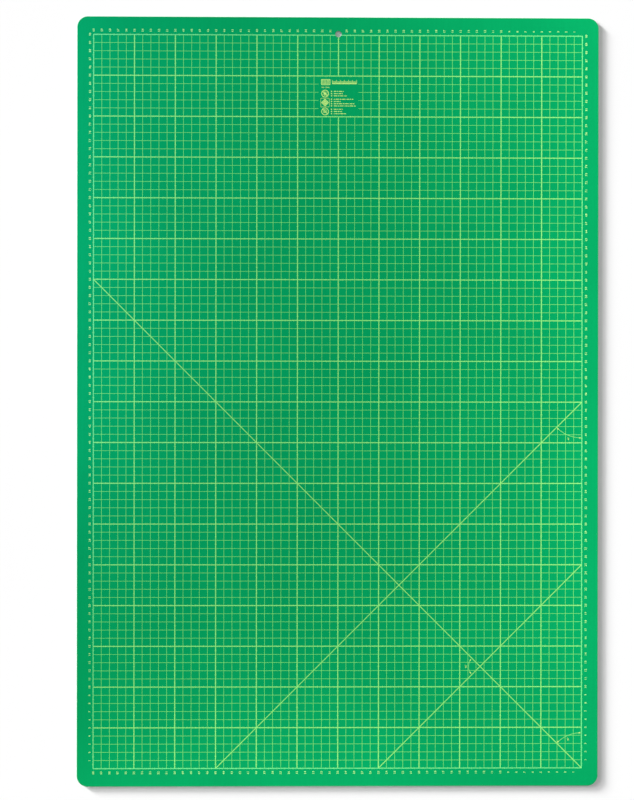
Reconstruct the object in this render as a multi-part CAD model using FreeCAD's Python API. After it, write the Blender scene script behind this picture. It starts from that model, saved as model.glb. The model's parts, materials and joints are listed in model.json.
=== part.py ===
import FreeCAD, Part
import math
import os

# A self-healing cutting mat: a five-layer PVC sheet with a printed centimetre grid.
# The frame: the underside lies on z = 0, +Z is up, +Y runs to the end with the hanging
# hole, and the origin is under the middle of the sheet. All sizes are in millimetres.

MAT_WIDTH = 640.0
MAT_LENGTH = 944.0
CORNER_RADIUS = 13.0
EDGE_BREAK = 0.25

# The layers, from the underside up.
CUTTING_LAYER = 0.9
TIE_FILM = 0.1
RIGID_CORE = 1.0
MAT_THICKNESS = 2 * CUTTING_LAYER + 2 * TIE_FILM + RIGID_CORE

HOLE_DIAMETER = 8.0
HOLE_FROM_END = 20.5
HOLE_Y = MAT_LENGTH / 2 - HOLE_FROM_END

# The print. Lines lie on the top face, and the grid's zero is at the (+X, -Y) corner.
CENTIMETRE = 10.0
HEAVY_EVERY = 5
GRID_COLUMNS = 60
GRID_ROWS = 90
FINE_LINE = 0.36
HEAVY_LINE = 0.75
BORDER_LINE = 0.75
GUIDE_LINE = 0.9
ARC_LINE = 0.4

# Ink film heights. Each kind of line is a little thicker than the kinds it crosses, so
# no two top faces coincide at a crossing.
PLAIN_INK = 0.020
LEVEL_FINE_INK = 0.014
UPRIGHT_FINE_INK = 0.016
LEVEL_HEAVY_INK = 0.018
UPRIGHT_HEAVY_INK = 0.020
BORDER_INK = 0.022
GUIDE_INK = 0.024
GUIDE_INK_STEP = 0.002
ARC_INK = 0.030

UP = FreeCAD.Vector(0, 0, 1)
TOLERANCE = 1e-6
GRID_WIDTH = GRID_COLUMNS * CENTIMETRE
GRID_LENGTH = GRID_ROWS * CENTIMETRE
GRID_RIGHT = GRID_WIDTH / 2
GRID_BOTTOM = -GRID_LENGTH / 2

BORDER_TICK_STEP = 5.0
BORDER_TICK_REACH = 1.1
BORDER_TICK_WIDTH = 0.3

# Numerals read along +Y, so their heads point to -X. Seven straight strokes, named as on
# a seven-segment display, make every digit.
DIGIT_HEIGHT = 2.4
DIGIT_WIDTH = 1.4
DIGIT_PITCH = 2.0
DIGIT_STROKE = 0.35
DIGIT_STROKES = ("abcdef", "bc", "abged", "abgcd", "fgbc", "afgcd", "afgedc", "abc", "abcdefg", "abcdfg")
END_NUMERALS_OUT = 5.2
LEFT_NUMERALS_OUT = 4.4
RIGHT_NUMERALS_OUT = 5.0

# The blank panel that holds the care label, counted in grid rows from the zero end.
PANEL_HALF_WIDTH = 24.5
PANEL_ROWS = (80, 85)

# The long, the middle and the short guide line at 45 degrees: where each starts and ends,
# in centimetres left of the zero corner and centimetres up from it.
GUIDES = (
    ((60, 60), (0, 0)),
    ((0, 45), (45, 0)),
    ((0, 25), (25, 0)),
)

# Angle marks: centre in centimetres from the zero corner, radius in millimetres, and
# the arc's start and end in degrees, counter-clockwise from +X.
ANGLE_ARCS = (
    ((0.0, 45.0), 44.0, 225.5, 269.5),
    ((0.0, 0.0), 43.2, 90.5, 134.5),
    ((12.5, 12.5), 14.3, 139.0, 221.0),
)
ARROW_LENGTH = 2.8
ARROW_WIDTH = 1.7

# Care label: each item's middle and size, in millimetres from the middle of the panel.
BADGE = (-15.6, 17.5, 11.2, 6.9)
TITLE_BAR = (7.4, 17.6, 30.2, 4.9)
CREDIT_BAR = (-15.6, 11.0, 10.4, 1.2)
ICON_X = -16.4
ICON_ROWS = (3.4, -7.6, -18.5)
RING_RADIUS = 4.6
SQUARE_SIDE = 11.0
ICON_LINE = 0.7
NOTE_LEFT = -5.7
NOTE_BAR = 1.0
NOTE_STEP = 2.75
NOTE_LENGTHS = ((12.0, 11.0, 16.0), (24.0, 9.0, 26.5, 28.5), (11.0, 10.0, 15.5))
MARKER_X = -8.5
MARKER_SIZE = 1.8


def save(node, solids):
    """Writes one node's solids to parts/NODE.step."""
    shape = solids[0] if len(solids) == 1 else Part.makeCompound(solids)
    shape.exportStep("parts/" + node + ".step")
    print(node, len(solids), "solids,", round(shape.Volume, 2), "mm3")


def place(left_cm, up_cm):
    """The point that lies left_cm left of the grid's zero corner and up_cm above it."""
    return GRID_RIGHT - left_cm * CENTIMETRE, GRID_BOTTOM + up_cm * CENTIMETRE


# ---------------------------------------------------------------- sheet layers

def edges_at(solid, z):
    """The edges of a solid that lie flat at height z."""
    rim = []
    for edge in solid.Edges:
        box = edge.BoundBox
        if abs(box.ZMin - z) < TOLERANCE and abs(box.ZMax - z) < TOLERANCE:
            rim.append(edge)
    return rim


def layer(z, thickness, broken_edge=None):
    """One rounded rectangular layer with the hanging hole punched through it."""
    corner = FreeCAD.Vector(-MAT_WIDTH / 2, -MAT_LENGTH / 2, z)
    slab = Part.makeBox(MAT_WIDTH, MAT_LENGTH, thickness, corner)
    upright = [edge for edge in slab.Edges if edge.BoundBox.ZLength > thickness / 2]
    slab = slab.makeFillet(CORNER_RADIUS, upright)
    if broken_edge is not None:
        slab = slab.makeFillet(EDGE_BREAK, edges_at(slab, broken_edge))
    centre = FreeCAD.Vector(0, HOLE_Y, z - thickness)
    return slab.cut(Part.makeCylinder(HOLE_DIAMETER / 2, 3 * thickness, centre))


def make_layers():
    """The five layers, from the back cutting layer up to the front one."""
    stack = (
        ("back_cutting_layer", CUTTING_LAYER),
        ("back_tie_film", TIE_FILM),
        ("rigid_core", RIGID_CORE),
        ("front_tie_film", TIE_FILM),
        ("front_cutting_layer", CUTTING_LAYER),
    )
    broken = {"back_cutting_layer": 0.0, "front_cutting_layer": MAT_THICKNESS}
    z = 0.0
    for node, thickness in stack:
        save(node, [layer(z, thickness, broken.get(node))])
        z += thickness


# ---------------------------------------------------------------- printed lines

def ink_box(x_low, y_low, x_high, y_high, ink=PLAIN_INK):
    """A rectangle of ink on the top face."""
    corner = FreeCAD.Vector(x_low, y_low, MAT_THICKNESS)
    return Part.makeBox(x_high - x_low, y_high - y_low, ink, corner)


def upright_line(x, y_low, y_high, width, ink=PLAIN_INK):
    return ink_box(x - width / 2, y_low, x + width / 2, y_high, ink)


def level_line(y, x_low, x_high, width, ink=PLAIN_INK):
    return ink_box(x_low, y - width / 2, x_high, y + width / 2, ink)


def ink_ring(x, y, radius, line):
    """A ring of ink, given its outer radius and the width of its line."""
    centre = FreeCAD.Vector(x, y, MAT_THICKNESS)
    disc = Part.makeCylinder(radius, PLAIN_INK, centre)
    return disc.cut(Part.makeCylinder(radius - line, PLAIN_INK, centre))


def punched(solids):
    """The same ink with the hanging hole punched through it."""
    centre = FreeCAD.Vector(0, HOLE_Y, MAT_THICKNESS)
    punch = Part.makeCylinder(HOLE_DIAMETER / 2, MAT_THICKNESS, centre)
    kept = []
    for solid in solids:
        if solid.BoundBox.intersect(punch.BoundBox):
            kept += solid.cut(punch).Solids
        else:
            kept.append(solid)
    return kept


def panel_y():
    """The care label panel's lower and upper edge."""
    return [GRID_BOTTOM + row * CENTIMETRE for row in PANEL_ROWS]


def upright_spans(x):
    """Where an upright grid line is printed: all the way, or not across the panel."""
    low, high = panel_y()
    if abs(x) < PANEL_HALF_WIDTH:
        return [(GRID_BOTTOM, low), (high, -GRID_BOTTOM)]
    return [(GRID_BOTTOM, -GRID_BOTTOM)]


def level_spans(row):
    """Where a level grid line is printed: all the way, or not across the panel."""
    if PANEL_ROWS[0] < row < PANEL_ROWS[1]:
        return [(-GRID_RIGHT, -PANEL_HALF_WIDTH), (PANEL_HALF_WIDTH, GRID_RIGHT)]
    return [(-GRID_RIGHT, GRID_RIGHT)]


def grid_lines(heavy, width, upright_ink, level_ink):
    """Every fine or every heavy grid line inside the border."""
    lines = []
    for column in range(1, GRID_COLUMNS):
        if (column % HEAVY_EVERY == 0) == heavy:
            x = GRID_RIGHT - column * CENTIMETRE
            spans = upright_spans(x)
            lines += [upright_line(x, low, high, width, upright_ink) for low, high in spans]
    for row in range(1, GRID_ROWS):
        if (row % HEAVY_EVERY == 0) == heavy:
            y = GRID_BOTTOM + row * CENTIMETRE
            spans = level_spans(row)
            lines += [level_line(y, low, high, width, level_ink) for low, high in spans]
    return lines


def centred_ink(width, length, ink):
    """A rectangle of ink about the middle of the mat."""
    return ink_box(-width / 2, -length / 2, width / 2, length / 2, ink)


def border():
    """The heavy frame round the grid, as one piece."""
    outer = centred_ink(GRID_WIDTH + BORDER_LINE, GRID_LENGTH + BORDER_LINE, BORDER_INK)
    return outer.cut(centred_ink(GRID_WIDTH - BORDER_LINE, GRID_LENGTH - BORDER_LINE, BORDER_INK))


def border_ticks():
    """Half-centimetre ticks that stand out of the border's outer side."""
    ticks = []
    start = BORDER_LINE / 2
    for number in range(1, int(GRID_WIDTH / BORDER_TICK_STEP)):
        x = GRID_RIGHT - number * BORDER_TICK_STEP
        for side in (-1, 1):
            near = side * (-GRID_BOTTOM + start)
            far = near + side * BORDER_TICK_REACH
            ticks.append(upright_line(x, min(near, far), max(near, far), BORDER_TICK_WIDTH))
    for number in range(1, int(GRID_LENGTH / BORDER_TICK_STEP)):
        y = GRID_BOTTOM + number * BORDER_TICK_STEP
        for side in (-1, 1):
            near = side * (GRID_RIGHT + start)
            far = near + side * BORDER_TICK_REACH
            ticks.append(level_line(y, min(near, far), max(near, far), BORDER_TICK_WIDTH))
    return ticks


# ---------------------------------------------------------------- scale numerals

def digit_strokes():
    """The seven strokes of a digit about its own middle: low and high corner of each.

    The digit reads along +Y and its head points to -X.
    """
    top = -DIGIT_HEIGHT / 2
    bottom = DIGIT_HEIGHT / 2
    left = -DIGIT_WIDTH / 2
    right = DIGIT_WIDTH / 2
    half = DIGIT_STROKE / 2
    return {
        "a": (top, left, top + DIGIT_STROKE, right),
        "b": (top, right - DIGIT_STROKE, half, right),
        "c": (-half, right - DIGIT_STROKE, bottom, right),
        "d": (bottom - DIGIT_STROKE, left, bottom, right),
        "e": (-half, left, bottom, left + DIGIT_STROKE),
        "f": (top, left, half, left + DIGIT_STROKE),
        "g": (-half, left, half, right),
    }


def make_digit(number):
    """One digit as a single flat solid."""
    boxes = digit_strokes()
    bars = [ink_box(*boxes[stroke]) for stroke in DIGIT_STROKES[number]]
    return bars[0].fuse(bars[1:]).removeSplitter().Solids[0]


def numeral(digits, value, x, y):
    """A whole number centred on a point."""
    text = str(value)
    start = y - (len(text) - 1) / 2 * DIGIT_PITCH
    placed = []
    for position, character in enumerate(text):
        offset = FreeCAD.Vector(x, start + position * DIGIT_PITCH, 0)
        placed.append(digits[int(character)].translated(offset))
    return placed


def scale_numerals():
    """The numbers along all four sides. The hanging hole takes one number's place."""
    digits = [make_digit(number) for number in range(len(DIGIT_STROKES))]
    solids = []
    for column in range(1, GRID_COLUMNS + 1):
        x = GRID_RIGHT - column * CENTIMETRE
        solids += numeral(digits, column, x, GRID_BOTTOM - END_NUMERALS_OUT)
        if abs(x) > HOLE_DIAMETER:
            solids += numeral(digits, column, x, -GRID_BOTTOM + END_NUMERALS_OUT)
    for row in range(1, GRID_ROWS + 1):
        y = GRID_BOTTOM + row * CENTIMETRE
        solids += numeral(digits, row, -GRID_RIGHT - LEFT_NUMERALS_OUT, y)
        solids += numeral(digits, row, GRID_RIGHT + RIGHT_NUMERALS_OUT, y)
    return solids


# ---------------------------------------------------------------- angle guides

def guide_lines():
    """The straight guide lines between points of the grid."""
    lines = []
    for number, (start_cm, end_cm) in enumerate(GUIDES):
        x0, y0 = place(*start_cm)
        x1, y1 = place(*end_cm)
        ink = GUIDE_INK + number * GUIDE_INK_STEP
        side = FreeCAD.Vector(0, -GUIDE_LINE / 2, 0)
        line = Part.makeBox(math.hypot(x1 - x0, y1 - y0), GUIDE_LINE, ink, side)
        turn = FreeCAD.Rotation(UP, math.degrees(math.atan2(y1 - y0, x1 - x0)))
        line.Placement = FreeCAD.Placement(FreeCAD.Vector(x0, y0, MAT_THICKNESS), turn)
        lines.append(line)
    return lines


def arc_band(x, y, radius, start, end):
    """An arc of ink about a point, as wide as ARC_LINE."""
    middle = FreeCAD.Vector(x, y, MAT_THICKNESS)
    outer = Part.makeCylinder(radius + ARC_LINE / 2, ARC_INK, middle, UP, end - start)
    inner = Part.makeCylinder(radius - ARC_LINE / 2, ARC_INK, middle, UP, end - start)
    band = outer.cut(inner)
    band.rotate(middle, UP, start)
    return band


def arrowhead(x, y, radius, degrees, side):
    """A triangle of ink whose tip is the arc's end; side says which way its back lies."""
    tip = math.radians(degrees)
    back = tip + side * ARROW_LENGTH / radius
    half = ARROW_WIDTH / 2
    corners = []
    for reach, angle in ((radius, tip), (radius - half, back), (radius + half, back)):
        corner = FreeCAD.Vector(x + reach * math.cos(angle), y + reach * math.sin(angle), MAT_THICKNESS)
        corners.append(corner)
    outline = Part.makePolygon(corners + corners[:1])
    return Part.Face(outline).extrude(UP * ARC_INK)


def angle_mark(centre_cm, radius, start, end):
    """One arc with an arrowhead at each end, as one solid."""
    x, y = place(*centre_cm)
    band = arc_band(x, y, radius, start, end)
    heads = [arrowhead(x, y, radius, start, 1), arrowhead(x, y, radius, end, -1)]
    return band.fuse(heads).removeSplitter().Solids[0]


# ---------------------------------------------------------------- care label

def label_box(x, y, width, height):
    """A rectangle of ink centred on a point of the care label."""
    y += sum(panel_y()) / 2
    return ink_box(x - width / 2, y - height / 2, x + width / 2, y + height / 2)


def label_icons():
    """Three icon outlines: a ring, a square frame and a ring."""
    upper, middle, lower = ICON_ROWS
    panel_middle = sum(panel_y()) / 2
    hollow_side = SQUARE_SIDE - 2 * ICON_LINE
    frame = label_box(ICON_X, middle, SQUARE_SIDE, SQUARE_SIDE)
    return [
        ink_ring(ICON_X, panel_middle + upper, RING_RADIUS, ICON_LINE),
        frame.cut(label_box(ICON_X, middle, hollow_side, hollow_side)),
        ink_ring(ICON_X, panel_middle + lower, RING_RADIUS, ICON_LINE),
    ]


def label_notes():
    """A block of bars beside each icon, each bar with a square marker before it."""
    bars = []
    for icon_y, lengths in zip(ICON_ROWS, NOTE_LENGTHS):
        top = icon_y + (len(lengths) - 1) / 2 * NOTE_STEP
        for number, length in enumerate(lengths):
            y = top - number * NOTE_STEP
            bars.append(label_box(NOTE_LEFT + length / 2, y, length, NOTE_BAR))
            bars.append(label_box(MARKER_X, y, MARKER_SIZE, NOTE_BAR))
    return bars


def make_print():
    """Everything that is printed on the front."""
    save("border_line", punched([border()]))
    save("border_ticks", punched(border_ticks()))
    heavy = grid_lines(True, HEAVY_LINE, UPRIGHT_HEAVY_INK, LEVEL_HEAVY_INK)
    save("five_centimetre_lines", punched(heavy))
    fine = grid_lines(False, FINE_LINE, UPRIGHT_FINE_INK, LEVEL_FINE_INK)
    save("one_centimetre_lines", fine)
    save("scale_numerals", scale_numerals())
    save("angle_guide_lines", guide_lines())
    save("angle_arcs", [angle_mark(*arc) for arc in ANGLE_ARCS])
    save("label_badge", [label_box(*BADGE), label_box(*CREDIT_BAR)])
    save("label_title_bar", [label_box(*TITLE_BAR)])
    save("label_icons", label_icons())
    save("label_note_bars", label_notes())


os.makedirs("parts", exist_ok=True)
make_layers()
make_print()
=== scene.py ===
import json
import math

import bmesh
import bpy
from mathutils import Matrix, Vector
from mathutils.geometry import tessellate_polygon

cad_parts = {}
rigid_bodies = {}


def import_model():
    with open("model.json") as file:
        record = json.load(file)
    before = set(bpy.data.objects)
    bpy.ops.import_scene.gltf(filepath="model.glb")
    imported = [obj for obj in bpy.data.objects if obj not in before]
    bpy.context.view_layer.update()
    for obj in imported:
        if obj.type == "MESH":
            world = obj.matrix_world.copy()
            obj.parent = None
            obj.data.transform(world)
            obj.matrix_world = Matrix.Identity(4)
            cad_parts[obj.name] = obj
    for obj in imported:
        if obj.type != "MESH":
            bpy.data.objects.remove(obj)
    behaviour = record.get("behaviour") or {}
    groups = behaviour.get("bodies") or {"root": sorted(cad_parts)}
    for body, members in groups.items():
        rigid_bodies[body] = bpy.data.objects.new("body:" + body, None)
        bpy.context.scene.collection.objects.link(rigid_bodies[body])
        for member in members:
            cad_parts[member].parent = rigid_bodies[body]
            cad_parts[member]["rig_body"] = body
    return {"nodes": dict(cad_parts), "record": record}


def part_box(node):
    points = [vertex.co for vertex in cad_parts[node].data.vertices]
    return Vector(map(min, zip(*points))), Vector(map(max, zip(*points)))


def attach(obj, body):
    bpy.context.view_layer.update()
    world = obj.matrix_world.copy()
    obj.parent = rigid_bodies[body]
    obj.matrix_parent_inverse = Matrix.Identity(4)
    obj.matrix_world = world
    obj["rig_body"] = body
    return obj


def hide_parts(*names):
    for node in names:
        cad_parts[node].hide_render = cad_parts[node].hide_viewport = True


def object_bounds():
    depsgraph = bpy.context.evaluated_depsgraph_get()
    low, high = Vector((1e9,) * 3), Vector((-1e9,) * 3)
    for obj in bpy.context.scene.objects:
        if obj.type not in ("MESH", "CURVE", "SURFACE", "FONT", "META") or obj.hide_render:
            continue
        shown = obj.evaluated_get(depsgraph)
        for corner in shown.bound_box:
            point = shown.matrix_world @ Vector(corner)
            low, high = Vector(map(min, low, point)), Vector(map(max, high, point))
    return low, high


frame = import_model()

CAD_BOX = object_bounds()
MM = 0.001

# ---------------------------------------------------------------- places from the frame

MAT_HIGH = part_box("front_cutting_layer")[1]
TOP = MAT_HIGH.z
MAT_HALF_WIDTH = MAT_HIGH.x
MAT_HALF_LENGTH = MAT_HIGH.y
GRID_LOW, GRID_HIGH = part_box("five_centimetre_lines")
NUMERALS_LOW, NUMERALS_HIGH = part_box("scale_numerals")
BADGE_LOW, BADGE_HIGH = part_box("label_badge")
TITLE_LOW, TITLE_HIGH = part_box("label_title_bar")
ICONS_LOW, ICONS_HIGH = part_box("label_icons")
NOTES_LOW, NOTES_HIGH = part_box("label_note_bars")
HOLE = next(m for m in frame["record"]["mounts"] if m["name"] == "hang_hole")
HOLE_CENTRE = Vector(HOLE["pos_m"])
HOLE_RADIUS = HOLE["dims"]["r_mm"] * MM

# ---------------------------------------------------------------- named sizes, in metres

CENTIMETRE = 10 * MM
CORNER_RADIUS = 13 * MM
EDGE_ROUND = 0.25 * MM
HOLE_ROUND = 0.1 * MM
INK = 0.020 * MM
LAYERS = ("back_cutting_layer", "back_tie_film", "rigid_core", "front_tie_film", "front_cutting_layer")

# Noise scales, in waves per metre, and how high each relief stands.
CLOUD_SCALE = 9.0
STREAK_SCALE = 6.0
STREAK_STRETCH = (60.0, 1.2, 1.0)
SPECKLE_SCALE = 1900.0
GRAIN_SCALE = 2600.0
GRAIN_RELIEF = 0.012 * MM
WAVE_SCALE = 40.0
WAVE_STRETCH = (1.0, 0.25, 1.0)
WAVE_RELIEF = 0.02 * MM
SAW_SCALE = 2200.0
SAW_STRETCH = (1.0, 1.0, 0.15)
SAW_RELIEF = 0.05 * MM
COVER_SCALE = 420.0
MESH_SCALE = 5200.0
MESH_RELIEF = 0.004 * MM


# ---------------------------------------------------------------- node materials

class Shader:
    """A material's node tree with short calls for the nodes used here."""

    def __init__(self, name):
        self.material = bpy.data.materials.new(name)
        self.material.use_nodes = True
        self.tree = self.material.node_tree
        self.surface = self.tree.nodes["Principled BSDF"]

    def add(self, kind, inputs=None, **settings):
        """A node with its settings, and with each input set to a value or linked to a socket."""
        node = self.tree.nodes.new(kind)
        for key, value in settings.items():
            setattr(node, key, value)
        for key, value in (inputs or {}).items():
            if isinstance(value, bpy.types.NodeSocket):
                self.tree.links.new(value, node.inputs[key])
            else:
                node.inputs[key].default_value = value
        return node

    def position(self, scale=(1, 1, 1)):
        """Object space, stretched by scale."""
        place = self.add("ShaderNodeTexCoord")
        return self.add("ShaderNodeMapping", {"Vector": place.outputs["Object"], "Scale": scale}).outputs[0]

    def noise(self, vector, scale, detail=2.0, roughness=0.5):
        inputs = {"Vector": vector, "Scale": scale, "Detail": detail, "Roughness": roughness}
        return self.add("ShaderNodeTexNoise", inputs).outputs["Fac"]

    def ramp(self, value, low, high, out_low=0.0, out_high=1.0):
        """The value carried from the range low to high to the range out_low to out_high."""
        inputs = {"Value": value, "From Min": low, "From Max": high, "To Min": out_low, "To Max": out_high}
        return self.add("ShaderNodeMapRange", inputs).outputs[0]

    def blend(self, factor, a, b, mode="MIX"):
        """Two colours mixed by a factor, each of them a value or a socket."""
        node = self.add("ShaderNodeMix", data_type="RGBA", blend_type=mode)
        for key, value in ((0, factor), (6, a), (7, b)):
            if isinstance(value, bpy.types.NodeSocket):
                self.tree.links.new(value, node.inputs[key])
            else:
                node.inputs[key].default_value = value
        return node.outputs[2]

    def math(self, operation, a, b):
        return self.add("ShaderNodeMath", {0: a, 1: b}, operation=operation).outputs[0]

    def bump(self, height, distance, strength=1.0, before=None):
        inputs = {"Height": height, "Distance": distance, "Strength": strength}
        if before is not None:
            inputs["Normal"] = before
        return self.add("ShaderNodeBump", inputs).outputs[0]

    def finish(self, color, roughness, normal, specular):
        """The finished material, with these sockets on its surface shader."""
        self.tree.links.new(color, self.surface.inputs["Base Color"])
        self.tree.links.new(roughness, self.surface.inputs["Roughness"])
        self.tree.links.new(normal, self.surface.inputs["Normal"])
        self.surface.inputs["Specular IOR Level"].default_value = specular
        return self.material


def colour(red, green, blue):
    return (red, green, blue, 1.0)


def pvc_material(name, base, specular=0.02):
    """Calendered PVC: a fine matt grain, faint rolling streaks and a sawn look at the cut edge."""
    s = Shader(name)
    dark = colour(*[0.93 * c for c in base])
    light = colour(*[1.06 * c for c in base])
    cloud = s.noise(s.position(), CLOUD_SCALE, 3.0)
    streak = s.noise(s.position(STREAK_STRETCH), STREAK_SCALE)
    speckle = s.noise(s.position(), SPECKLE_SCALE)
    tone = s.math("ADD", s.math("MULTIPLY", cloud, 0.55), s.math("MULTIPLY", streak, 0.2))
    tone = s.math("ADD", tone, s.math("MULTIPLY", speckle, 0.25))
    shade = s.blend(s.ramp(tone, 0.35, 0.65), dark, light)
    grain = s.noise(s.position(), GRAIN_SCALE, 3.0, 0.6)
    roughness = s.ramp(grain, 0.3, 0.7, 0.52, 0.68)
    fine = s.bump(grain, GRAIN_RELIEF)
    wave = s.bump(s.noise(s.position(WAVE_STRETCH), WAVE_SCALE), WAVE_RELIEF, before=fine)
    facing = s.add("ShaderNodeSeparateXYZ", {0: s.add("ShaderNodeNewGeometry").outputs["Normal"]})
    side = s.ramp(s.math("ABSOLUTE", facing.outputs[2], 0.0), 0.3, 0.1)
    saw = s.math("MULTIPLY", s.noise(s.position(SAW_STRETCH), SAW_SCALE), side)
    cut = s.bump(saw, SAW_RELIEF, before=wave)
    shade = s.blend(1.0, shade, s.ramp(saw, 0.0, 0.8, 1.0, 0.8), "MULTIPLY")
    return s.finish(shade, roughness, cut, specular)


def ink_material(name, full, thin):
    """Matt screen-printed ink: where its cover is thin, the green shows through."""
    s = Shader(name)
    cover = s.noise(s.position(), COVER_SCALE, 4.0, 0.6)
    mesh_marks = s.noise(s.position(), MESH_SCALE, 1.0)
    tone = s.math("ADD", s.math("MULTIPLY", cover, 0.7), s.math("MULTIPLY", mesh_marks, 0.3))
    shade = s.blend(s.ramp(tone, 0.32, 0.5), colour(*thin), colour(*full))
    roughness = s.ramp(mesh_marks, 0.3, 0.7, 0.5, 0.62)
    return s.finish(shade, roughness, s.bump(mesh_marks, MESH_RELIEF), 0.12)


GREEN = pvc_material("green_pvc", (0.0004, 0.217, 0.066))
FILM = pvc_material("tie_film", (0.02, 0.16, 0.075), 0.3)
CORE = pvc_material("rigid_core", (0.50, 0.56, 0.50), 0.3)

# Each ink has its colour under full cover, then its colour where the cover is thin.
SOLID_INK = ink_material("solid_ink", (0.39, 0.60, 0.145), (0.28, 0.53, 0.13))
NUMERAL_INK = ink_material("numeral_ink", (0.36, 0.65, 0.21), (0.25, 0.57, 0.17))
LINE_INK = ink_material("line_ink", (0.225, 0.60, 0.148), (0.145, 0.52, 0.125))
FINE_INK = ink_material("fine_line_ink", (0.18, 0.60, 0.132), (0.115, 0.50, 0.11))
FRAME_INK = ink_material("frame_ink", (0.113, 0.55, 0.195), (0.075, 0.47, 0.16))
GUIDE_INK = ink_material("guide_line_ink", (0.205, 0.54, 0.122), (0.143, 0.47, 0.103))

LAYER_MATERIALS = {
    "back_cutting_layer": GREEN,
    "back_tie_film": FILM,
    "rigid_core": CORE,
    "front_tie_film": FILM,
    "front_cutting_layer": GREEN,
}


# ---------------------------------------------------------------- meshes

def make_piece(name, vertices, faces, material, slot, *replaced):
    """A new piece of the mat, riding on the root body."""
    mesh = bpy.data.meshes.new(name)
    mesh.from_pydata([tuple(v) for v in vertices], [], faces)
    tidy = bmesh.new()
    tidy.from_mesh(mesh)
    bmesh.ops.recalc_face_normals(tidy, faces=tidy.faces)
    tidy.to_mesh(mesh)
    tidy.free()
    mesh.materials.append(material)
    piece = bpy.data.objects.new(name, mesh)
    bpy.context.scene.collection.objects.link(piece)
    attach(piece, "root")
    if replaced:
        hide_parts(*replaced)
    return piece


class Film:
    """Flat shapes of one printed film, gathered into one mesh of closed thin solids."""

    def __init__(self, thickness=INK, material=SOLID_INK):
        self.vertices = []
        self.faces = []
        self.low = TOP
        self.high = TOP + thickness
        self.material = material

    def outline(self, points):
        """A solid shape from its outline, counter-clockwise."""
        start = len(self.vertices)
        count = len(points)
        self.vertices += [(x, y, self.low) for x, y in points]
        self.vertices += [(x, y, self.high) for x, y in points]
        self.faces.append([start + i for i in reversed(range(count))])
        self.faces.append([start + count + i for i in range(count)])
        for i in range(count):
            j = (i + 1) % count
            self.faces.append([start + i, start + j, start + count + j, start + count + i])

    def band(self, outer, inner, closed=True):
        """The strip between two outlines, or two open lines, with the same number of points."""
        count = len(outer)
        rings = []
        for height in (self.low, self.high):
            for points in (outer, inner):
                rings.append(len(self.vertices))
                self.vertices += [(x, y, height) for x, y in points]
        low_out, low_in, high_out, high_in = rings
        for i in range(count if closed else count - 1):
            j = (i + 1) % count
            self.faces.append([high_out + i, high_out + j, high_in + j, high_in + i])
            self.faces.append([low_in + i, low_in + j, low_out + j, low_out + i])
            self.faces.append([low_out + i, low_out + j, high_out + j, high_out + i])
            self.faces.append([high_in + i, high_in + j, low_in + j, low_in + i])
        if not closed:
            last = count - 1
            self.faces.append([high_out, high_in, low_in, low_out])
            self.faces.append([low_out + last, low_in + last, high_in + last, high_out + last])

    def box(self, x, y, width, height, angle=0.0):
        """A rectangle about a point, turned by angle."""
        c, s = math.cos(angle), math.sin(angle)
        corners = [(-0.5, -0.5), (0.5, -0.5), (0.5, 0.5), (-0.5, 0.5)]
        turned = [(u * width, v * height) for u, v in corners]
        self.outline([(x + u * c - v * s, y + u * s + v * c) for u, v in turned])

    def capsule(self, x, y, width, height, pieces=6):
        """A bar with round ends, along x."""
        radius = height / 2
        reach = width / 2 - radius
        points = []
        for sign, first in ((1, -90), (-1, 90)):
            for number in range(pieces + 1):
                angle = math.radians(first + 180 * number / pieces)
                points.append((x + sign * reach + radius * math.cos(angle), y + radius * math.sin(angle)))
        self.outline(points)

    def disc(self, x, y, radius, sides=24):
        self.outline(circle(x, y, radius, sides))

    def ring(self, x, y, radius, line, sides=48):
        """A ring, from its outer radius and the width of its line."""
        self.band(circle(x, y, radius, sides), circle(x, y, radius - line, sides))

    def add_mesh(self, vertices, faces, x, y, angle=0.0):
        """A ready flat solid, turned by angle and moved to a point."""
        c, s = math.cos(angle), math.sin(angle)
        start = len(self.vertices)
        for u, v, w in vertices:
            height = self.high if w > 0 else self.low
            self.vertices.append((x + u * c - v * s, y + u * s + v * c, height))
        self.faces += [[start + i for i in face] for face in faces]

    def piece(self, name, *replaced):
        return make_piece(name, self.vertices, self.faces, self.material, "ink", *replaced)


def circle(x, y, radius, sides):
    turns = [2 * math.pi * i / sides for i in range(sides)]
    return [(x + radius * math.cos(a), y + radius * math.sin(a)) for a in turns]


def rounded_rectangle(half_width, half_length, radius, pieces=16):
    """Points of a rounded rectangle about the origin, counter-clockwise."""
    points = []
    for quarter, (sx, sy) in enumerate(((1, 1), (-1, 1), (-1, -1), (1, -1))):
        for number in range(pieces + 1):
            angle = math.radians(90 * (quarter + number / pieces))
            x = sx * (half_width - radius) + radius * math.cos(angle)
            y = sy * (half_length - radius) + radius * math.sin(angle)
            points.append((x, y))
    return points


# ---------------------------------------------------------------- the five layers

HOLE_SIDES = 64
SHARP_ANGLE = math.radians(50)


def layer_profile(low, high, round_low, round_high, radius, pieces=4):
    """(inset, height) up the edge of a layer, with the asked edges rounded."""
    turns = [math.radians(90 * number / pieces) for number in range(pieces + 1)]
    profile = []
    if round_low:
        profile += [(radius * (1 - math.sin(a)), low + radius * (1 - math.cos(a))) for a in turns]
    else:
        profile.append((0.0, low))
    if round_high:
        profile += [(radius * (1 - math.cos(a)), high - radius * (1 - math.sin(a))) for a in turns]
    else:
        profile.append((0.0, high))
    return profile


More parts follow.
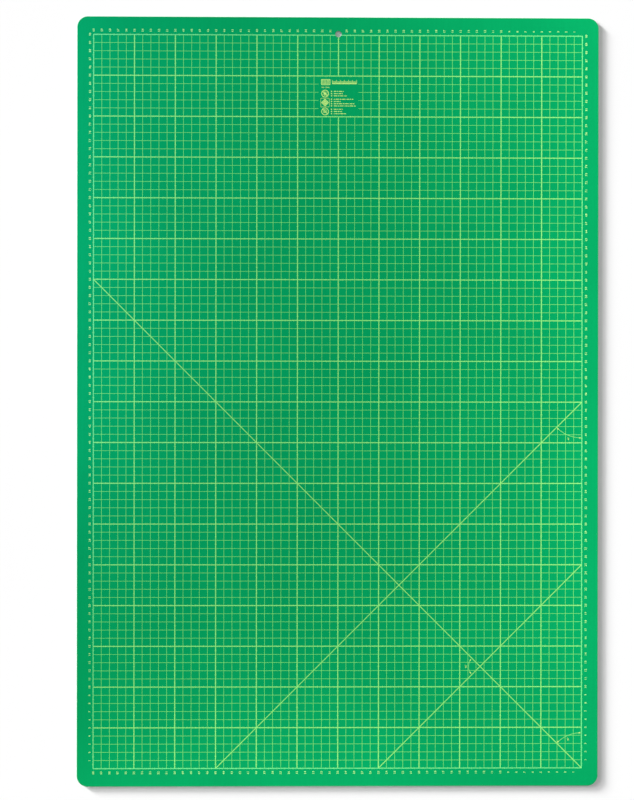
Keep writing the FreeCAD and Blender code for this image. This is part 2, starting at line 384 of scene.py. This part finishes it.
def build_layer(node):
    """A rounded sheet with the hanging hole; the mat's outermost edges are softly rounded."""
    low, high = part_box(node)
    ends = (node == LAYERS[0], node == LAYERS[-1])
    vertices, faces, loops = [], [], []
    for is_hole, radius in ((False, EDGE_ROUND), (True, HOLE_ROUND)):
        rings = []
        for inset, z in layer_profile(low.z, high.z, *ends, radius):
            if is_hole:
                points = circle(HOLE_CENTRE.x, HOLE_CENTRE.y, HOLE_RADIUS + inset, HOLE_SIDES)
            else:
                size = (MAT_HALF_WIDTH - inset, MAT_HALF_LENGTH - inset, CORNER_RADIUS - inset)
                points = rounded_rectangle(*size)
            rings.append((len(vertices), points, z))
            vertices += [(x, y, z) for x, y in points]
        for (start, points, _), (above, _, _) in zip(rings, rings[1:]):
            count = len(points)
            for i in range(count):
                j = (i + 1) % count
                faces.append([start + i, start + j, above + j, above + i])
        loops.append((rings[0], rings[-1]))
    wall_count = len(faces)
    for end in (0, 1):
        outer, hole = loops[0][end], loops[1][end]
        order = [outer[0] + i for i in range(len(outer[1]))] + [hole[0] + i for i in range(len(hole[1]))]
        polygons = [[Vector((x, y, 0)) for x, y in outline[1]] for outline in (outer, hole)]
        faces += [[order[i] for i in triangle] for triangle in tessellate_polygon(polygons)]
    slot = next(s["material_slot"] for s in frame["record"]["subparts"] if s["node"] == node)
    mesh = make_piece(node + "_sheet", vertices, faces, LAYER_MATERIALS[node], slot, node).data
    mesh.set_sharp_from_angle(angle=SHARP_ANGLE)
    mesh.polygons.foreach_set("use_smooth", [i < wall_count for i in range(len(mesh.polygons))])
    mesh.update()


for layer_node in LAYERS:
    build_layer(layer_node)


# ---------------------------------------------------------------- grid lines and ticks

HEAVY_STEP = 5 * CENTIMETRE
PANEL_HALF_WIDTH = 24.5 * MM
PANEL_LOW = GRID_HIGH.y - 10 * CENTIMETRE
PANEL_HIGH = GRID_HIGH.y - 5 * CENTIMETRE
TICK_INK = 0.011 * MM
HALF_TICK_INK = 0.012 * MM
TICK_TO_HOLE = 1.3 * MM

# Width and reach of each kind of tick.
MM_TICK = (0.18 * MM, 1.5 * MM)
HALF_TICK = (0.28 * MM, 2.3 * MM)


def in_panel(x, y):
    """Whether a point lies in the blank panel of the label, or within 1 mm of its ends."""
    return abs(x) < PANEL_HALF_WIDTH and PANEL_LOW - MM < y < PANEL_HIGH + MM


def near_hole(x, y):
    return math.hypot(x - HOLE_CENTRE.x, y - HOLE_CENTRE.y) < HOLE_RADIUS + TICK_TO_HOLE


def steps(low, high, step):
    """Evenly spaced values from low to high, both included."""
    return [low + step * i for i in range(round((high - low) / step) + 1)]


def add_ticks(fine, half, lines, upright):
    """Millimetre and half-centimetre ticks across each heavy line, from film fine and half."""
    low, high = (GRID_LOW.y, GRID_HIGH.y) if upright else (GRID_LOW.x, GRID_HIGH.x)
    for line in lines:
        for number, place in enumerate(steps(low, high, MM)):
            if number % 10 == 0:
                continue
            x, y = (line, place) if upright else (place, line)
            if near_hole(x, y) or (upright and in_panel(x, y)):
                continue
            film = fine if number % 5 else half
            width, reach = MM_TICK if number % 5 else HALF_TICK
            film.box(x, y, *((reach, width) if upright else (width, reach)))


uprights = steps(GRID_LOW.x, GRID_HIGH.x, HEAVY_STEP)
levels = steps(GRID_LOW.y, GRID_HIGH.y, HEAVY_STEP)
halves = Film(HALF_TICK_INK, LINE_INK)
lengthwise = Film(TICK_INK, LINE_INK)
crosswise = Film(TICK_INK, LINE_INK)
add_ticks(lengthwise, halves, uprights, True)
add_ticks(crosswise, halves, levels, False)
halves.piece("half_centimetre_ticks", "border_ticks")
lengthwise.piece("millimetre_ticks_lengthwise")
crosswise.piece("millimetre_ticks_crosswise")


# ---------------------------------------------------------------- numerals

DIGIT_HEIGHT = 2.4 * MM
DIGIT_WIDTH = 1.4 * MM
DIGIT_PITCH = 2.0 * MM
READING_UP = math.radians(90)

# In units of the typeface's size: how much its strokes grow, the distance at which points
# are one, and the length under which an edge is a sliver.
DIGIT_BOLDNESS = 0.012
SAME_POINT = 1e-5
SLIVER = 1e-4


def glyph(text, height, bolder=0.0):
    """A flat solid of generic lettering, centred on the origin: its vertices and faces."""
    curve = bpy.data.curves.new("glyph", "FONT")
    curve.body = text
    curve.extrude = 0.5
    curve.offset = bolder
    curve.resolution_u = 3
    letters = bpy.data.objects.new("glyph", curve)
    bpy.context.scene.collection.objects.link(letters)
    solid = bmesh.new()
    solid.from_mesh(letters.evaluated_get(bpy.context.evaluated_depsgraph_get()).to_mesh())
    bpy.data.objects.remove(letters)
    bmesh.ops.remove_doubles(solid, verts=solid.verts, dist=SAME_POINT)
    bmesh.ops.dissolve_degenerate(solid, edges=solid.edges, dist=SLIVER)
    xs = [v.co.x for v in solid.verts]
    ys = [v.co.y for v in solid.verts]
    scale = height / (max(ys) - min(ys))
    middle_x = (max(xs) + min(xs)) / 2
    middle_y = (max(ys) + min(ys)) / 2
    vertices = [((v.co.x - middle_x) * scale, (v.co.y - middle_y) * scale, v.co.z) for v in solid.verts]
    faces = [[v.index for v in face.verts] for face in solid.faces]
    solid.free()
    return vertices, faces


DIGITS = [glyph(str(number), DIGIT_HEIGHT, DIGIT_BOLDNESS) for number in range(10)]


def add_number(film, value, x, y):
    """A whole number that reads along +Y, centred on a point."""
    text = str(value)
    for position, character in enumerate(text):
        along = (position - (len(text) - 1) / 2) * DIGIT_PITCH
        film.add_mesh(*DIGITS[int(character)], x, y + along, READING_UP)


def number_rows():
    """The numbers along all four sides, counted from the (+X, -Y) corner.

    The hanging hole takes the place of the far side's middle number.
    """
    two_digits = DIGIT_PITCH + DIGIT_WIDTH
    top_y = NUMERALS_HIGH.y - two_digits / 2
    bottom_y = NUMERALS_LOW.y + two_digits / 2
    left_x = NUMERALS_LOW.x + DIGIT_HEIGHT / 2
    right_x = NUMERALS_HIGH.x - DIGIT_HEIGHT / 2
    rows = {name: Film(INK, NUMERAL_INK) for name in ("far", "near", "left", "right")}
    for column, x in enumerate(reversed(steps(GRID_LOW.x, GRID_HIGH.x, CENTIMETRE))):
        if column and abs(x) > HOLE_RADIUS:
            add_number(rows["far"], column, x, top_y)
        if column:
            add_number(rows["near"], column, x, bottom_y)
    for row, y in enumerate(steps(GRID_LOW.y, GRID_HIGH.y, CENTIMETRE)):
        if row:
            add_number(rows["left"], row, left_x, y)
            add_number(rows["right"], row, right_x, y)
    return rows


for row_name, film in number_rows().items():
    film.piece("numerals_" + row_name, "scale_numerals")


# ---------------------------------------------------------------- angle arcs

ARC_LINE = 0.4 * MM
ARC_INK = 0.029 * MM
ARROW_INK = 0.030 * MM
ARROW_LENGTH = 2.8 * MM
ARROW_WIDTH = 1.7 * MM
ANGLE_LABEL_HEIGHT = 2.2 * MM

# Centre (centimetres left of and up from the zero corner), radius, start and end angle,
# the label and its place in the same centimetres.
ARCS = (
    ((0.0, 45.0), 44.0 * MM, 225.5, 269.5, "45°", (1.66, 40.52)),
    ((0.0, 0.0), 43.2 * MM, 90.5, 134.5, "45°", (1.66, 3.54)),
    ((12.5, 12.5), 14.3 * MM, 139.0, 221.0, "90°", (14.24, 12.5)),
)


def on_grid(left, up):
    """The point so many centimetres left of and up from the zero corner."""
    return GRID_HIGH.x - left * CENTIMETRE, GRID_LOW.y + up * CENTIMETRE


def arc_points(x, y, radius, start, end, count=40):
    """Points along an arc, from start to end in degrees counter-clockwise from +X."""
    turns = [math.radians(start + (end - start) * i / (count - 1)) for i in range(count)]
    return [(x + radius * math.cos(a), y + radius * math.sin(a)) for a in turns]


def add_arrow(film, x, y, radius, degrees, side):
    """An arrowhead whose tip is the arc's end; side says which way its back lies."""
    tip = math.radians(degrees)
    back = tip + side * ARROW_LENGTH / radius
    points = [(x + radius * math.cos(tip), y + radius * math.sin(tip))]
    for reach in (radius - ARROW_WIDTH / 2, radius + ARROW_WIDTH / 2):
        points.append((x + reach * math.cos(back), y + reach * math.sin(back)))
    film.outline(points)


arc_film = Film(ARC_INK, LINE_INK)
arrow_film = Film(ARROW_INK)
label_film = Film(ARC_INK)
for centre, radius, start, end, text, label_place in ARCS:
    cx, cy = on_grid(*centre)
    outer = arc_points(cx, cy, radius + ARC_LINE / 2, start, end)
    inner = arc_points(cx, cy, radius - ARC_LINE / 2, start, end)
    arc_film.band(outer, inner, closed=False)
    add_arrow(arrow_film, cx, cy, radius, start, 1)
    add_arrow(arrow_film, cx, cy, radius, end, -1)
    label_film.add_mesh(*glyph(text, ANGLE_LABEL_HEIGHT), *on_grid(*label_place), READING_UP)
arc_film.piece("angle_arc_lines", "angle_arcs")
arrow_film.piece("angle_arc_arrows", "angle_arcs")
label_film.piece("angle_labels")


# ---------------------------------------------------------------- care label

LABEL_LINE = 0.75 * MM
CORNER_PIECES = 6
BADGE_HEIGHT = 6.9 * MM
BADGE_CORNER = 0.8 * MM
BADGE_INNER_CORNER = 0.3 * MM
SQUARE_GAP = 0.6 * MM
SQUARE_COLUMNS = 5
SQUARE_ROWS = 3

# The row under the badge: its bars, with one left out as a gap between words.
ROW_BAR = (0.65 * MM, 1.2 * MM)
ROW_START = 0.9 * MM
ROW_STEP = 1.25 * MM
ROW_PLACES = (0, 1, 2, 4, 5, 6, 7)


def add_frame(film, x, y, half_width, half_height, line, corner, inner_corner):
    """A rounded rectangular frame about a point, as wide as line."""
    outer = rounded_rectangle(half_width, half_height, corner, CORNER_PIECES)
    inner = rounded_rectangle(half_width - line, half_height - line, inner_corner, CORNER_PIECES)
    film.band([(x + u, y + v) for u, v in outer], [(x + u, y + v) for u, v in inner])


def build_badge():
    """A frame round a block of small squares, a plain grid motif, with a row of bars below."""
    film = Film()
    width = BADGE_HIGH.x - BADGE_LOW.x
    x, y = (BADGE_LOW.x + BADGE_HIGH.x) / 2, BADGE_HIGH.y - BADGE_HEIGHT / 2
    add_frame(film, x, y, width / 2, BADGE_HEIGHT / 2, LABEL_LINE, BADGE_CORNER, BADGE_INNER_CORNER)
    step_x = (width - 2 * LABEL_LINE - SQUARE_GAP) / SQUARE_COLUMNS
    step_y = (BADGE_HEIGHT - 2 * LABEL_LINE - SQUARE_GAP) / SQUARE_ROWS
    for column in range(SQUARE_COLUMNS):
        for row in range(SQUARE_ROWS):
            u = x + (column - (SQUARE_COLUMNS - 1) / 2) * step_x
            v = y + (row - (SQUARE_ROWS - 1) / 2) * step_y
            film.box(u, v, step_x - SQUARE_GAP, step_y - SQUARE_GAP)
    bar_width, bar_height = ROW_BAR
    for place in ROW_PLACES:
        u = BADGE_LOW.x + ROW_START + place * ROW_STEP
        film.box(u, BADGE_LOW.y + bar_height / 2, bar_width, bar_height)
    film.piece("label_badge_motif", "label_badge")


RULER_BASE = 0.9 * MM
RULER_BAR = 0.42 * MM
RULER_STEPS = 30
RULER_SHORTER = 1.4 * MM


def build_title():
    """A ruler motif: a base bar under long and short graduations, close to a millimetre apart."""
    film = Film()
    low, high = TITLE_LOW, TITLE_HIGH
    base = low.y + RULER_BASE
    step = (high.x - low.x - RULER_BAR) / RULER_STEPS
    points = [(low.x, low.y), (high.x, low.y)]
    for number in reversed(range(RULER_STEPS + 1)):
        left = low.x + number * step
        right = left + RULER_BAR
        top = high.y if number % 5 == 0 else high.y - RULER_SHORTER
        points += [(right, base), (right, top), (left, top), (left, base)]
    film.outline(points)
    film.piece("label_ruler_motif", "label_title_bar")


RING_RADIUS = 4.6 * MM
ICON_STEP = 11.0 * MM
CROSSING_INK = INK + 0.002 * MM

# The sun: its rays' middles are this far out, and each has a length and a width.
SUN_RADIUS = 1.45 * MM
RAY_MIDDLE = 2.55 * MM
RAY = (1.3 * MM, 0.6 * MM)

# The framed diamond: half the frame's side, its line and its corner radius, then the tiles.
SHEET_FRAME = (5.5 * MM, 0.35 * MM, 1.0 * MM)
TILES = 4
TILE_STEP = 1.75 * MM
TILE_GAP = 0.3 * MM

# The bent sheet: its lines' heights, and the arcs along each line's two sides.
BEND_STEPS = (-1.6 * MM, 0.0, 1.6 * MM)
BEND_DROP = 3.6 * MM
BEND_OUTER = 4.4 * MM
BEND_INNER = 3.7 * MM
BEND_ARC = (58, 122, 14)


def add_sun(film, x, y):
    """A round sun with eight rays."""
    film.disc(x, y, SUN_RADIUS)
    for ray in range(8):
        angle = math.radians(22.5 + 45 * ray)
        film.box(x + RAY_MIDDLE * math.cos(angle), y + RAY_MIDDLE * math.sin(angle), *RAY, angle)


def add_pierced_diamond(film, x, y):
    """A diamond made of tiles, with narrow gaps between them."""
    side = TILE_STEP - TILE_GAP
    for column in range(TILES):
        for row in range(TILES):
            along = (column - (TILES - 1) / 2) * TILE_STEP
            across = (row - (TILES - 1) / 2) * TILE_STEP
            u = x + (along - across) * math.sqrt(0.5)
            v = y + (along + across) * math.sqrt(0.5)
            film.box(u, v, side, side, math.radians(45))


def add_bent_sheet(film, x, y):
    """Three bowed lines, one over the other."""
    for offset in BEND_STEPS:
        centre = y + offset - BEND_DROP
        upper = arc_points(x, centre, BEND_OUTER, *BEND_ARC)
        lower = arc_points(x, centre, BEND_INNER, *BEND_ARC)
        film.band(upper, lower, closed=False)


def build_icons():
    """Three plain pictograms: a crossed sun, a tiled diamond in a frame, a crossed bend."""
    film = Film()
    bars = Film(CROSSING_INK)
    x = (ICONS_LOW.x + ICONS_HIGH.x) / 2
    top, bottom = ICONS_HIGH.y - RING_RADIUS, ICONS_LOW.y + RING_RADIUS
    middle = top - ICON_STEP
    for y in (top, bottom):
        film.ring(x, y, RING_RADIUS, LABEL_LINE)
        bars.box(x, y, 2 * RING_RADIUS - LABEL_LINE, LABEL_LINE, math.radians(-45))
    add_sun(film, x, top)
    half, line, corner = SHEET_FRAME
    add_frame(film, x, middle, half, half, line, corner, corner - line)
    add_pierced_diamond(film, x, middle)
    add_bent_sheet(film, x, bottom)
    film.piece("label_pictograms", "label_icons")
    bars.piece("label_pictogram_bars", "label_icons")


# Each block of notes, in millimetres: how far its middle is below the top of the icons,
# and how long its rows are. The lengths of the dashes are in millimetres too.
NOTE_BLOCKS = (
    (4.6, (12.0, 11.0, 16.0)),
    (15.6, (24.0, 9.0, 26.5, 28.5)),
    (26.5, (11.0, 10.0, 15.5)),
)
WORDS = (3.1, 1.7, 4.2, 2.4, 3.6, 1.2)
WORD_GAP = 0.6
SHORTEST_WORD = 1.0
NOTE_STEP = 2.75 * MM
NOTE_WIDTH = 28.5 * MM
DASH = 0.85 * MM
MARKER_RADIUS = 0.75 * MM
MARKER_INSET = 0.9 * MM


def build_notes():
    """Rows of word-long dashes where care notes would be, each after a round marker."""
    dashes, markers = Film(), Film()
    left = NOTES_HIGH.x - NOTE_WIDTH
    word = 0
    for drop, lengths in NOTE_BLOCKS:
        middle = ICONS_HIGH.y - drop * MM
        for number, length in enumerate(lengths):
            y = middle + ((len(lengths) - 1) / 2 - number) * NOTE_STEP
            markers.disc(NOTES_LOW.x + MARKER_INSET, y, MARKER_RADIUS)
            reached = 0.0
            while reached < length - SHORTEST_WORD:
                run = min(WORDS[word % len(WORDS)], length - reached)
                dashes.capsule(left + (reached + run / 2) * MM, y, run * MM, DASH)
                reached += run + WORD_GAP
                word += 1
    dashes.piece("label_note_dashes", "label_note_bars")
    markers.piece("label_note_markers", "label_note_bars")


build_badge()
build_title()
build_icons()
build_notes()


# ---------------------------------------------------------------- CAD nodes that stay

STAYING = {
    "border_line": FRAME_INK,
    "five_centimetre_lines": LINE_INK,
    "one_centimetre_lines": FINE_INK,
    "angle_guide_lines": GUIDE_INK,
}
for ink_node, ink in STAYING.items():
    for material_slot in frame["nodes"][ink_node].material_slots:
        material_slot.material = ink


# ---------------------------------------------------------------- floor, light, camera

FLOOR_SIZE = 16.0
FLOOR_RELIEF = 0.01 * MM
DOME_STRENGTH = 0.40
BACKDROP_STRENGTH = 0.97

# The key is a soft box with a hot core, drawn as two suns: elevation, the way the light
# travels from +X in degrees, spread and strength.
KEYS = (
    ("key_core", 10.3, -36.4, 9.4, 6.6),
    ("key_wide", 17.0, -25.2, 28.9, 3.2),
)

# Strip lights along the mat's sides: name, middle, length, watts and colour. They light
# the mat only, so the floor keeps its soft shadow. The left one is bluish, because the
# left of the mat looks cooler in the photograph.
STRIP_WIDTH = 0.06
STRIP_AIM_INSET = 0.20
STRIPS = (
    ("strip_right", (0.45, 0.08, 0.16), 1.2, 2.15, (1.0, 1.0, 1.0)),
    ("strip_left", (-0.45, 0.24, 0.16), 0.8, 1.75, (0.375, 0.58, 1.0)),
    ("strip_near", (-0.10, -0.62, 0.16), 0.6, 1.15, (1.0, 1.0, 1.0)),
    ("strip_far", (0.14, 0.62, 0.16), 0.5, 0.5, (1.0, 1.0, 1.0)),
)
CAMERA_PLACE = (-0.0613, 0.0081, 2.3216)
CAMERA_TURN = (-0.143, -0.875, 0.066)
CAMERA_LENS = 85.0


def build_floor():
    """A plain pale floor, level with the underside of the mat."""
    mesh = bpy.data.meshes.new("floor")
    half = FLOOR_SIZE / 2
    corners = [(-half, -half), (half, -half), (half, half), (-half, half)]
    mesh.from_pydata([(x, y, CAD_BOX[0][2]) for x, y in corners], [], [(0, 1, 2, 3)])
    floor = bpy.data.objects.new("floor", mesh)
    bpy.context.scene.collection.objects.link(floor)
    s = Shader("studio_floor")
    shade = s.blend(s.noise(s.position(), 3.0), colour(0.93, 0.93, 0.93), colour(0.95, 0.95, 0.95))
    grain = s.noise(s.position(), 300.0)
    roughness = s.ramp(grain, 0.0, 1.0, 0.7, 0.8)
    mesh.materials.append(s.finish(shade, roughness, s.bump(grain, FLOOR_RELIEF), 0.2))


def build_dome():
    """A plain white dome that lights evenly and is itself seen as a pale backdrop."""
    world = bpy.data.worlds.new("studio")
    world.use_nodes = True
    tree = world.node_tree
    background = tree.nodes["Background"]
    background.inputs["Color"].default_value = colour(1.0, 1.0, 1.0)
    seen = tree.nodes.new("ShaderNodeLightPath")
    strength = tree.nodes.new("ShaderNodeMapRange")
    strength.inputs["To Min"].default_value = DOME_STRENGTH
    strength.inputs["To Max"].default_value = BACKDROP_STRENGTH
    tree.links.new(seen.outputs["Is Camera Ray"], strength.inputs["Value"])
    tree.links.new(strength.outputs[0], background.inputs["Strength"])
    bpy.context.scene.world = world


def build_keys():
    """The two suns, which aren't mirrored in glossy surfaces."""
    for name, elevation, heading, spread, strength in KEYS:
        sun = bpy.data.lights.new(name, "SUN")
        sun.energy = strength
        sun.angle = math.radians(spread)
        key = bpy.data.objects.new(name, sun)
        rise, turn = math.radians(elevation), math.radians(heading)
        level = math.cos(rise)
        travel = Vector((math.cos(turn) * level, math.sin(turn) * level, -math.sin(rise)))
        key.rotation_euler = travel.to_track_quat("-Z", "Y").to_euler()
        key.visible_glossy = False
        bpy.context.scene.collection.objects.link(key)


def build_strips():
    """The strip lights, which light the mat alone, each aimed inside the edge beside it."""
    lit = bpy.data.collections.new("mat_pieces")
    for piece in bpy.context.scene.objects:
        if piece.get("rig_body"):
            lit.objects.link(piece)
    for name, middle, length, watts, tint in STRIPS:
        light = bpy.data.lights.new(name, "AREA")
        light.shape = "RECTANGLE"
        light.size = length
        light.size_y = STRIP_WIDTH
        light.energy = watts
        light.color = tint
        strip = bpy.data.objects.new(name, light)
        strip.location = middle
        if abs(middle[0]) > MAT_HALF_WIDTH:
            aim = Vector((math.copysign(MAT_HALF_WIDTH - STRIP_AIM_INSET, middle[0]), middle[1], 0))
        else:
            aim = Vector((middle[0], math.copysign(MAT_HALF_LENGTH - STRIP_AIM_INSET, middle[1]), 0))
        strip.rotation_euler = (aim - strip.location).to_track_quat("-Z", "Y").to_euler()
        strip.visible_camera = False
        strip.light_linking.receiver_collection = lit
        bpy.context.scene.collection.objects.link(strip)


def build_camera():
    """The camera, straight above the mat but for a small turn and shift."""
    camera = bpy.data.objects.new("camera", bpy.data.cameras.new("camera"))
    camera.data.lens = CAMERA_LENS
    camera.location = CAMERA_PLACE
    camera.rotation_euler = [math.radians(turn) for turn in CAMERA_TURN]
    bpy.context.scene.collection.objects.link(camera)
    bpy.context.scene.camera = camera


build_floor()
build_dome()
build_keys()
build_strips()
build_camera()
bpy.context.scene.view_settings.view_transform = "Standard"
